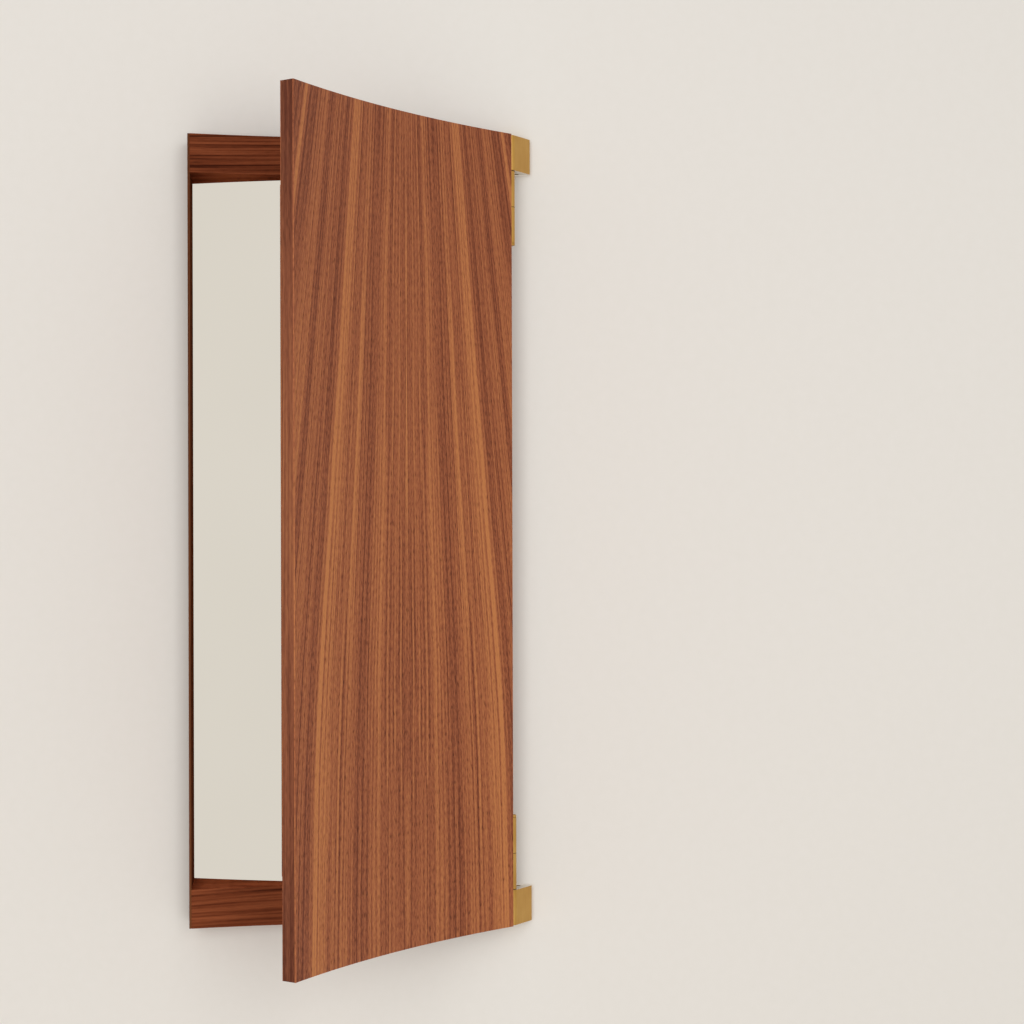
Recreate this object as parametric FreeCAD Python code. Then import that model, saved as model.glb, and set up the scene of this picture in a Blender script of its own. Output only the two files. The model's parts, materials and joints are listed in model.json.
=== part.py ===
import FreeCAD, Part
import math
import os

# Wall vanity mirror: a shallow framed mirror with a curved swinging cover on two pin hinges.
# X runs right along the wall, Y runs into the wall, Z is up. The wall is the plane Y = 0.
# The origin is the middle of the body's back. All sizes are in millimetres, angles in degrees.

V = FreeCAD.Vector

# Body: the framed mirror that lies on the wall
height = 700.0
body_width = 281.0
rail_height = 34.3
edge_strip_thickness = 2.0
stile_width = 24.0
back_panel_thickness = 4.0
rabbet_width = 8.0
panel_clearance = 0.2
tape_thickness = 1.0
tape_width = 30.0
tape_count = 3
tape_end_margin = 40.0
glass_thickness = 4.0
glass_clearance = 0.3
dowel_radius = 3.0
dowel_pitch = 12.0
dowel_depth = 9.0
glued_clearance = 0.05

# Hinge axis and the curve of the closed cover
hinge_offset = 5.0
hinge_depth = 21.2
cover_radius = 862.0
cover_thickness = 12.4
cover_end_gap = 5.9
cover_inner_offset = 4.6
hinge_end_slope = -4.7
cover_overhang = 4.3
closed_gap = 1.0
rest_opening = 41.7

# Cover: bent core edged with solid lippings, under a veneer on each face
veneer_thickness = 0.8
lipping_width = 3.0
edge_rounding = 0.5

# Hinge hardware
barrel_radius = 4.0
pin_radius = 2.2
running_clearance = 0.05
fixed_clearance = 0.03
knuckle_length = 31.5
joint_gap = 0.5
washer_thickness = 0.4
cap_thickness = 2.6
leaf_thickness = 2.0
leaf_reach = 28.0
leaf_setback = 0.1
leaf_web_half = 3.6
mortise_clearance = 0.15
screw_head_radius = 3.0
screw_shank_radius = 1.4
screw_head_height = 1.7
screw_length = 9.0
screw_slot_width = 0.7
screw_slot_depth = 0.6
screw_clearance = 0.05
screw_near = 12.0
screw_far = 21.5
screw_spread = 9.0

# Wall bracket: brass block with the pin boss, carried on a stud in the wall
bracket_height = 31.2
bracket_reach = 19.6
bracket_end_depth = 5.0
boss_radius = 5.0
bracket_rounding = 0.4
pin_end_cover = 3.0
wall_stud_radius = 4.05
wall_stud_offset = 7.5
wall_stud_depth = 11.0
grub_radius = 2.0
grub_length = 8.0
grub_recess = 1.5
grub_depth = 5.0
grub_socket_radius = 1.0
grub_socket_depth = 2.0
stud_radius = 2.5
stud_rail_length = 14.0
stud_wall = 1.0
stud_depth = 8.0

# Closing: magnets in the rails, steel plates and felt on the cover
magnet_radius = 4.0
magnet_length = 6.0
magnet_inset = 14.0
magnet_skin = 0.8
strike_radius = 5.0
strike_thickness = 1.5
felt_radius = 5.0
felt_thickness = 0.7
felt_from_magnet = 14.0

# Working values: how far a cut runs past a face, and how near two places count as one
cut_past = 1.0
same_place = 1e-3

# Derived places
half_height = height / 2
right = body_width / 2
left = -right
rail_bottom = half_height - rail_height
axis_x = right + hinge_offset
axis_y = -hinge_depth
axis = V(axis_x, axis_y, 0)
up = V(0, 0, 1)
slope = math.radians(hinge_end_slope)
along = V(-math.cos(slope), -math.sin(slope), 0)
inward = V(-math.sin(slope), math.cos(slope), 0)
inner_radius = cover_radius + cover_thickness
front_radius = inner_radius + closed_gap
curve_centre = axis + along * cover_end_gap + inward * (cover_inner_offset - inner_radius)
free_angle = math.asin((curve_centre.x - left + cover_overhang) / inner_radius)
glass_front = back_panel_thickness + tape_thickness + glass_thickness
bracket_bottom = half_height - bracket_height
cover_knuckle_top = bracket_bottom - joint_gap
cover_knuckle_bottom = cover_knuckle_top - knuckle_length
body_knuckle_top = cover_knuckle_bottom - joint_gap
body_knuckle_bottom = body_knuckle_top - knuckle_length
body_leaf_front = cover_inner_offset + closed_gap + leaf_setback
body_leaf_back = body_leaf_front + leaf_thickness
stud_line = bracket_bottom + bracket_height / 2
rail_middle = half_height - rail_height / 2
magnet_x = left + magnet_inset
stud_pitch = 2 * (wall_stud_radius + stud_radius + stud_wall)
stud_bracket_length = hinge_offset + wall_stud_offset - grub_radius - stud_wall
dowel_length = 2 * (stud_line - stud_pitch / 2 - stud_radius - stud_wall - rail_bottom)


def curve_point(radius, angle):
    """Point at an angle on a circle about the curve centre, measured from the wall's normal."""
    return V(curve_centre.x - radius * math.sin(angle), curve_centre.y + radius * math.cos(angle), 0)


def curve_angle(radius, x):
    return math.asin((curve_centre.x - x) / radius)


def prism(edges, low, high):
    """Solid between two heights over a closed outline."""
    face = Part.Face(Part.Wire(edges))
    face.translate(V(0, 0, low))
    return face.extrude(V(0, 0, high - low))


def polygon(points):
    ring = points + [points[0]]
    return [Part.LineSegment(a, b).toShape() for a, b in zip(ring, ring[1:])]


def shell_piece(near, far, start, end, low, high):
    """Piece of a curved sheet between two radii, two angles and two heights."""
    middle = (start + end) / 2
    a = curve_point(near, start)
    b = curve_point(near, end)
    c = curve_point(far, end)
    d = curve_point(far, start)
    edges = [
        Part.Arc(a, curve_point(near, middle), b).toShape(),
        Part.LineSegment(b, c).toShape(),
        Part.Arc(c, curve_point(far, middle), d).toShape(),
        Part.LineSegment(d, a).toShape(),
    ]
    return prism(edges, low, high)


def frame_piece(x0, x1, low, high):
    """Body piece from the wall out to the curve that the closed cover follows."""
    a0 = curve_angle(front_radius, x0)
    a1 = curve_angle(front_radius, x1)
    p0 = curve_point(front_radius, a0)
    p1 = curve_point(front_radius, a1)
    edges = [
        Part.LineSegment(V(x0, 0, 0), V(x1, 0, 0)).toShape(),
        Part.LineSegment(V(x1, 0, 0), p1).toShape(),
        Part.Arc(p1, curve_point(front_radius, (a0 + a1) / 2), p0).toShape(),
        Part.LineSegment(p0, V(x0, 0, 0)).toShape(),
    ]
    return prism(edges, low, high)


def box(x0, x1, near, far, low, high):
    """Box between two distances from the wall."""
    return Part.makeBox(x1 - x0, far - near, high - low, V(x0, -far, low))


def hinge_point(e, n):
    """Point beside the hinge axis: e along the closed cover, n towards the wall."""
    return axis + along * e + inward * n


def hinge_box(e0, e1, n0, n1, low, high):
    corners = [hinge_point(e0, n0), hinge_point(e1, n0), hinge_point(e1, n1), hinge_point(e0, n1)]
    return prism(polygon(corners), low, high)


def rod(radius, start, end):
    direction = end - start
    return Part.makeCylinder(radius, direction.Length, start, direction)


def axis_rod(radius, low, high):
    return rod(radius, axis + up * low, axis + up * high)


def disc_in_shell(radius, x, z, near, far):
    """Round disc, square to the wall, that follows the curve between two radii."""
    angle = curve_angle(near, x)
    reach = curve_point(near, angle)
    spread = 2 * radius / near
    half_length = far - near + radius
    cylinder = rod(radius, V(x, reach.y - half_length, z), V(x, reach.y + half_length, z))
    sheet = shell_piece(near, far, angle - spread, angle + spread, z - 2 * radius, z + 2 * radius)
    return cylinder.common(sheet)


def countersunk(start, direction, clearance):
    """Countersunk screw, or with a clearance the hole that takes it."""
    head = Part.makeCone(screw_head_radius + clearance, screw_shank_radius + clearance, screw_head_height,
                         start, direction)
    shank = Part.makeCylinder(screw_shank_radius + clearance, screw_length + clearance, start, direction)
    return head.fuse(shank).removeSplitter()


def screw(start, direction):
    """Countersunk screw with a straight slot."""
    slot = Part.makeBox(screw_slot_width, 2 * screw_head_radius, 2 * screw_slot_depth,
                        V(-screw_slot_width / 2, -screw_head_radius, -screw_slot_depth))
    slot.Placement = FreeCAD.Placement(start, FreeCAD.Rotation(up, direction))
    return countersunk(start, direction, 0).cut(slot)


def screw_starts(n, knuckle_low):
    """Head centres of one leaf's screws."""
    middle = knuckle_low + knuckle_length / 2
    places = [(screw_near, -screw_spread), (screw_near, screw_spread), (screw_far, 0)]
    return [hinge_point(e, n) + up * (middle + dz) for e, dz in places]


def mirrored(shape):
    """The lower twin of an upper piece."""
    return shape.mirror(V(0, 0, 0), up)


def both(shape):
    return [shape, mirrored(shape)]


def cut_all(shape, tools):
    """Cuts made one after another, since the tools overlap each other."""
    for tool in tools:
        shape = shape.cut(tool)
    return shape


def swing(shape):
    """Turn a piece of the closed cover to the opening at which the mirror is shown."""
    turned = shape.copy()
    turned.rotate(axis, up, rest_opening)
    return turned


def save(name, shapes):
    solids = []
    for shape in shapes:
        solids += shape.Solids
    result = solids[0] if len(solids) == 1 else Part.makeCompound(solids)
    result.exportStep("parts/" + name + ".step")
    print(name, len(solids), "solid(s)", round(sum(s.Volume for s in solids)), "mm3")


# Holes shared by the frame pieces
def dowel_rods(clearance):
    middle = right - stile_width / 2
    rods = []
    for shift in (-dowel_pitch / 2, dowel_pitch / 2):
        foot = V(middle + shift, -dowel_depth, rail_bottom - dowel_length / 2 - clearance)
        rods.append(rod(dowel_radius + clearance, foot, foot + up * (dowel_length + 2 * clearance)))
    return rods


def stud_rods(clearance):
    rods = []
    for shift in (-stud_pitch / 2, stud_pitch / 2):
        start = V(right - stud_rail_length - clearance, -stud_depth, stud_line + shift)
        end = V(right + stud_bracket_length + clearance, -stud_depth, stud_line + shift)
        rods.append(rod(stud_radius + clearance, start, end))
    return rods


def magnet_front():
    """Front end of the magnet, a thin skin of wood behind the curved face."""
    near_side = curve_point(front_radius, curve_angle(front_radius, magnet_x + magnet_radius))
    return V(magnet_x, near_side.y + magnet_skin, rail_middle)


def magnet():
    return rod(magnet_radius, magnet_front() + V(0, magnet_length, 0), magnet_front())


def magnet_bore():
    """Hole for the magnet, bored from the wall side so that it doesn't show."""
    return rod(magnet_radius + glued_clearance, V(magnet_x, cut_past, rail_middle), magnet_front())


# Frame of the body
inner_left = left + edge_strip_thickness
stile_left = right - stile_width
panel_top = rail_bottom + rabbet_width
panel_right = stile_left + rabbet_width


def upper_rail():
    rail = frame_piece(inner_left, right, rail_bottom, half_height)
    rabbet = box(inner_left, panel_right, 0, back_panel_thickness, rail_bottom, panel_top)
    return cut_all(rail, [rabbet, magnet_bore()] + dowel_rods(glued_clearance) + stud_rods(glued_clearance))


def body_leaf_mortise():
    return hinge_box(0, leaf_reach + mortise_clearance, 0, body_leaf_back + mortise_clearance,
                     body_knuckle_bottom - mortise_clearance, body_knuckle_top + mortise_clearance)


def body_leaf_screw_starts():
    return screw_starts(body_leaf_front, body_knuckle_bottom)


def hinge_stile():
    stile = frame_piece(stile_left, right, -rail_bottom, rail_bottom)
    rabbet = box(stile_left, panel_right, 0, back_panel_thickness, -rail_bottom, rail_bottom)
    tools = [rabbet]
    upper = dowel_rods(glued_clearance) + [body_leaf_mortise()]
    upper += [countersunk(start, inward, screw_clearance) for start in body_leaf_screw_starts()]
    for tool in upper:
        tools += both(tool)
    return cut_all(stile, tools)


def back_panel():
    return box(inner_left, panel_right - panel_clearance, 0, back_panel_thickness,
               -panel_top + panel_clearance, panel_top - panel_clearance)


def mirror_glass():
    return box(inner_left + glass_clearance, stile_left - glass_clearance,
               back_panel_thickness + tape_thickness, glass_front,
               -rail_bottom + glass_clearance, rail_bottom - glass_clearance)


def mirror_tapes():
    reach = rail_bottom - tape_end_margin
    span = stile_left - inner_left
    tapes = []
    for index in range(tape_count):
        middle = inner_left + span * (index + 0.5) / tape_count
        tapes.append(box(middle - tape_width / 2, middle + tape_width / 2,
                         back_panel_thickness, back_panel_thickness + tape_thickness, -reach, reach))
    return tapes


# Hinge hardware that stays with the body
def upper_bracket():
    """Brass block: flat on the wall and on the rail's end, slanted from the pin boss to its far end."""
    away = V(bracket_reach, hinge_depth - bracket_end_depth, 0)
    turn = -math.atan2(away.y, away.x) + math.acos(boss_radius / away.Length)
    tangent = axis + V(math.cos(turn), -math.sin(turn), 0) * boss_radius
    boss_side = axis + V(-boss_radius, 0, 0)
    crest_turn = (turn + math.pi) / 2
    crest = axis + V(math.cos(crest_turn), -math.sin(crest_turn), 0) * boss_radius
    shoulder = curve_point(front_radius, curve_angle(front_radius, right))
    corners = [boss_side, V(right, shoulder.y, 0), V(right, 0, 0), V(axis_x + bracket_reach, 0, 0),
               V(axis_x + bracket_reach, -bracket_end_depth, 0), tangent]
    edges = [Part.LineSegment(a, b).toShape() for a, b in zip(corners, corners[1:])]
    edges.append(Part.Arc(tangent, crest, boss_side).toShape())
    block = prism(edges, bracket_bottom, half_height)
    rims = [e for e in block.Edges if e.BoundBox.ZLength < same_place
            and e.CenterOfMass.x > right + same_place and e.CenterOfMass.y < -same_place]
    block = block.makeFillet(bracket_rounding, rims)
    stud_x = axis_x + wall_stud_offset
    wall_bore = rod(wall_stud_radius, V(stud_x, -wall_stud_depth, stud_line), V(stud_x, cut_past, stud_line))
    grub_bore = rod(grub_radius + fixed_clearance, V(stud_x, -grub_depth, bracket_bottom - cut_past),
                    V(stud_x, -grub_depth, stud_line))
    pin_bore = axis_rod(pin_radius + fixed_clearance, bracket_bottom - cut_past, half_height - pin_end_cover)
    return cut_all(block, [wall_bore, grub_bore, pin_bore] + stud_rods(glued_clearance))


def upper_grub_screw():
    foot = V(axis_x + wall_stud_offset, -grub_depth, bracket_bottom + grub_recess)
    socket = rod(grub_socket_radius, foot, foot + up * grub_socket_depth)
    return rod(grub_radius, foot, foot + up * grub_length).cut(socket)


def upper_hinge_pin():
    cap_bottom = body_knuckle_bottom - cap_thickness
    shaft = axis_rod(pin_radius, body_knuckle_bottom, half_height - pin_end_cover - joint_gap)
    return shaft.fuse(axis_rod(barrel_radius, cap_bottom, body_knuckle_bottom)).removeSplitter()


def upper_body_leaf():
    low = body_knuckle_bottom
    high = body_knuckle_top
    knuckle = axis_rod(barrel_radius, low, high)
    web = hinge_box(-leaf_web_half, leaf_web_half, 0, body_leaf_back, low, high)
    plate = hinge_box(-leaf_web_half, leaf_reach, body_leaf_front, body_leaf_back, low, high)
    leaf = knuckle.fuse([web, plate]).removeSplitter()
    holes = [countersunk(start, inward, screw_clearance) for start in body_leaf_screw_starts()]
    return cut_all(leaf, holes + [axis_rod(pin_radius + fixed_clearance, low - cut_past, high + cut_past)])


def upper_body_leaf_screws():
    return [screw(start, inward) for start in body_leaf_screw_starts()]


def upper_washers():
    washers = []
    for top in (bracket_bottom, cover_knuckle_bottom):
        low = top - (joint_gap + washer_thickness) / 2
        high = low + washer_thickness
        ring = axis_rod(barrel_radius, low, high)
        washers.append(ring.cut(axis_rod(pin_radius + running_clearance, low - cut_past, high + cut_past)))
    return washers


# Cover, drawn closed and then swung open
def cover_leaf_front():
    return barrel_radius - leaf_thickness


def cover_leaf_mortise():
    return hinge_box(0, leaf_reach + mortise_clearance, cover_leaf_front() - mortise_clearance,
                     cover_inner_offset + leaf_thickness, cover_knuckle_bottom - mortise_clearance,
                     cover_knuckle_top + mortise_clearance)


def cover_leaf_screw_starts():
    return screw_starts(barrel_radius, cover_knuckle_bottom)


def cover_cuts():
    """Mortises, screw holes and strike pockets of both ends of the cover."""
    pocket = disc_in_shell(strike_radius + glued_clearance, magnet_x, rail_middle,
                           inner_radius - strike_thickness - glued_clearance, inner_radius + strike_thickness)
    upper = [cover_leaf_mortise(), pocket]
    upper += [countersunk(start, inward * -1, screw_clearance) for start in cover_leaf_screw_starts()]
    tools = []
    for tool in upper:
        tools += both(tool)
    return tools


lipping_angle = lipping_width / cover_radius
core_start = slope + lipping_angle
core_end = free_angle - lipping_angle
core_near = cover_radius + veneer_thickness
core_far = inner_radius - veneer_thickness
core_top = half_height - lipping_width


def veneer(near, far, outer):
    """Sheet over the core and the lippings, with its corner at the free edge eased."""
    sheet = shell_piece(near, far, slope, free_angle, -half_height, half_height)
    corner = curve_point(outer, free_angle)
    edges = [e for e in sheet.Edges
             if (V(e.CenterOfMass.x, e.CenterOfMass.y, 0) - corner).Length < same_place]
    return sheet.makeFillet(edge_rounding, edges)


def inner_piece(start, end, low, high):
    """Piece between the two veneers."""
    return shell_piece(core_near, core_far, start, end, low, high)


def upper_cover_leaf():
    low = cover_knuckle_bottom
    high = cover_knuckle_top
    plate = hinge_box(0, leaf_reach, cover_leaf_front(), barrel_radius, low, high)
    leaf = axis_rod(barrel_radius, low, high).fuse(plate).removeSplitter()
    holes = [countersunk(start, inward * -1, screw_clearance) for start in cover_leaf_screw_starts()]
    return cut_all(leaf, holes + [axis_rod(pin_radius + running_clearance, low - cut_past, high + cut_past)])


def upper_cover_leaf_screws():
    return [screw(start, inward * -1) for start in cover_leaf_screw_starts()]


def upper_felt_pads():
    near_free = disc_in_shell(felt_radius, magnet_x + felt_from_magnet, rail_middle,
                              inner_radius, inner_radius + felt_thickness)
    near_hinge = disc_in_shell(felt_radius, right - magnet_inset - felt_from_magnet, rail_middle,
                               inner_radius, inner_radius + felt_thickness)
    return [near_free, near_hinge]


def save_body():
    rail = upper_rail()
    save("top_rail", [rail])
    save("bottom_rail", [mirrored(rail)])
    save("left_edge_strip", [frame_piece(left, inner_left, -half_height, half_height)])
    save("hinge_stile", [hinge_stile()])
    save("back_panel", [back_panel()])
    save("mirror_glass", [mirror_glass()])
    save("mirror_tape", mirror_tapes())
    save("frame_dowels", [twin for dowel in dowel_rods(0) for twin in both(dowel)])
    save("catch_magnets", both(magnet()))


def save_hinges():
    bracket = upper_bracket()
    save("upper_bracket", [bracket])
    save("lower_bracket", [mirrored(bracket)])
    save("bracket_studs", [twin for stud in stud_rods(0) for twin in both(stud)])
    save("bracket_grub_screws", both(upper_grub_screw()))
    pin = upper_hinge_pin()
    save("upper_hinge_pin", [pin])
    save("lower_hinge_pin", [mirrored(pin)])
    leaf = upper_body_leaf()
    save("upper_body_leaf", [leaf])
    save("lower_body_leaf", [mirrored(leaf)])
    save("body_leaf_screws", [twin for one in upper_body_leaf_screws() for twin in both(one)])
    save("hinge_washers", [twin for one in upper_washers() for twin in both(one)])


def save_cover():
    tools = cover_cuts()
    panels = {
        "cover_core": inner_piece(core_start, core_end, -core_top, core_top),
        "cover_face_veneer": veneer(cover_radius, core_near, cover_radius),
        "cover_back_veneer": veneer(core_far, inner_radius, inner_radius),
        "cover_top_lipping": inner_piece(core_start, core_end, core_top, half_height),
        "cover_bottom_lipping": inner_piece(core_start, core_end, -half_height, -core_top),
        "cover_hinge_lipping": inner_piece(slope, core_start, -half_height, half_height),
        "cover_free_lipping": inner_piece(core_end, free_angle, -half_height, half_height),
    }
    for name, panel in panels.items():
        save(name, [swing(cut_all(panel, tools))])
    leaf = upper_cover_leaf()
    save("upper_cover_leaf", [swing(leaf)])
    save("lower_cover_leaf", [swing(mirrored(leaf))])
    save("cover_leaf_screws", [swing(twin) for one in upper_cover_leaf_screws() for twin in both(one)])
    strike = disc_in_shell(strike_radius, magnet_x, rail_middle,
                           inner_radius - strike_thickness, inner_radius)
    save("strike_plates", [swing(twin) for twin in both(strike)])
    save("felt_pads", [swing(twin) for pad in upper_felt_pads() for twin in both(pad)])


os.makedirs("parts", exist_ok=True)
save_body()
save_hinges()
save_cover()
print("hinge axis", round(axis_x, 3), round(axis_y, 3))
print("wall stud", round(axis_x + wall_stud_offset, 3), round(stud_line, 3))
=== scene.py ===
import bpy
import json
import math
import numpy as np
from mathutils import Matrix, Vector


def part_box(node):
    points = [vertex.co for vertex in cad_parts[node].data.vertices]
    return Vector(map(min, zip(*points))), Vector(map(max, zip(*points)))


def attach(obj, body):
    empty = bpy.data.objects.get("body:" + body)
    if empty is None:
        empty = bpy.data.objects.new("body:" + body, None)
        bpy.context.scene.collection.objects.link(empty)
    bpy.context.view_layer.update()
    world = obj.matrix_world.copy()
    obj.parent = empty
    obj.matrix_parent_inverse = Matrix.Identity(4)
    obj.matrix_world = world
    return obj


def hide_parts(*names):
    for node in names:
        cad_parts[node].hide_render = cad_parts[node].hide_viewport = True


# Wall vanity mirror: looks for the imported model, in metres, in the model's own frame.
# X runs right along the wall, Y into the wall, Z up. The wall is the plane Y = 0.

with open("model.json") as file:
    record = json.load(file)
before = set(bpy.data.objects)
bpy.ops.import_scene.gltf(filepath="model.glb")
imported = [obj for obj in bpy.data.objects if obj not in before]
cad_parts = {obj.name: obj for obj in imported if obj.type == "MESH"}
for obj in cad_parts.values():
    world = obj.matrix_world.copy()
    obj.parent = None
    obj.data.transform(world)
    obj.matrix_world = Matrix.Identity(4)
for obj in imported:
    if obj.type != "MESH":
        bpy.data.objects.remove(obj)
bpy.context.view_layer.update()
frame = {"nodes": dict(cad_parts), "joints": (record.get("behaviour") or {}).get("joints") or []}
mm = 0.001
print("frame loaded:", len(frame["nodes"]), "nodes")


# sRGB hex to linear light: a straight stretch near black, then the 2.4 power
def linearColour(hexText):
    srgb = np.array([int(hexText[i:i + 2], 16) for i in (1, 3, 5)]) / 255
    linear = np.where(srgb <= 0.04045, srgb / 12.92, ((srgb + 0.055) / 1.055) ** 2.4)
    return (*linear.tolist(), 1.0)


# one node, with its settings, its ramp stops and what goes into its sockets
def addNode(tree, kind, sockets=None, stops=(), **settings):
    node = tree.nodes.new("ShaderNode" + kind)
    for setting, value in settings.items():
        setattr(node, setting, value)
    for index, (place, colour) in enumerate(stops):
        elements = node.color_ramp.elements
        element = elements[index] if index < 2 else elements.new(place)
        element.position = place
        element.color = colour
    for socket, value in (sockets or {}).items():
        if isinstance(value, bpy.types.NodeSocket):
            tree.links.new(value, node.inputs[socket])
        else:
            node.inputs[socket].default_value = value
    return node


# ramp stops in grey from pairs of place and level, with the places divided by the reach
def greyStops(pairs, reach=1):
    return [(place / reach, (level, level, level, 1)) for place, level in pairs]


def newMaterial(name):
    material = bpy.data.materials.new(name)
    material.use_nodes = True
    tree = material.node_tree
    tree.nodes.clear()
    shader = addNode(tree, "BsdfPrincipled")
    addNode(tree, "OutputMaterial", {"Surface": shader.outputs["BSDF"]})
    return material, tree, shader


# Walnut, sliced or sawn and then lacquered or oiled. It gives the eye long lighter and darker streaks,
# fine growth lines, and short dark pores that lie along the grain, under a soft sheen.
# Pores are really about 0.3 mm wide; they are drawn wider, so that they show at a step away.
walnutSizes = {
    "wander": (45.0, 260.0, 2.0),    # mm across, mm along, detail
    "broad": (15.0, 900.0, 2.0),
    "line": (1.7, 260.0, 3.0),
    "fleck": (0.9, 9.0, 2.0),
    "pore": (0.6, 9.0, 1.0),
    "wanderMm": 3.0,
    "poreFrom": 0.56,
    "poreTo": 0.70,
    "poreFade": 1.25,                # pores fade as the wood gets lighter, and are gone at this tone
    "poreRoughness": 0.2,            # how much duller they are
    "lineRelief": 0.35,
    "bump": 0.3,
    "innerFromM": 0.06,              # where the painted light on the inner faces starts, and where it is full
    "innerFullM": 0.12,
}

# where the three colours of a wood stand on its tone
colourPlaces = ((0.0, "dark"), (0.45, "mid"), (1.0, "light"))

# Growth ring: from a thin dark line the tone jumps up, then sinks slowly to the next dark line.
# ringTilt is how much the rings follow X, against Z; a grain map has X alone.
ringTones = [(0.0, 0.0), (0.12, 0.75), (0.4, 1.0), (0.8, 0.65), (1.0, 0.0)]


# 1 where a face looks inwards, to the middle of the mirror: there its place times its normal is negative,
# when both are taken along the given axes alone. The mask rises from 0 to 1 between two distances in metres.
def lookingIn(tree, axes, start, full):
    coordinates = addNode(tree, "TexCoord").outputs
    flat = addNode(tree, "VectorMath", {0: coordinates["Object"], 1: axes}, operation="MULTIPLY").outputs[0]
    product = addNode(tree, "VectorMath", {0: flat, 1: coordinates["Normal"]}, operation="DOT_PRODUCT")
    return addNode(tree, "MapRange", {"Value": product.outputs["Value"], "From Min": -start,
                                      "From Max": -full}).outputs[0]


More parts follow.
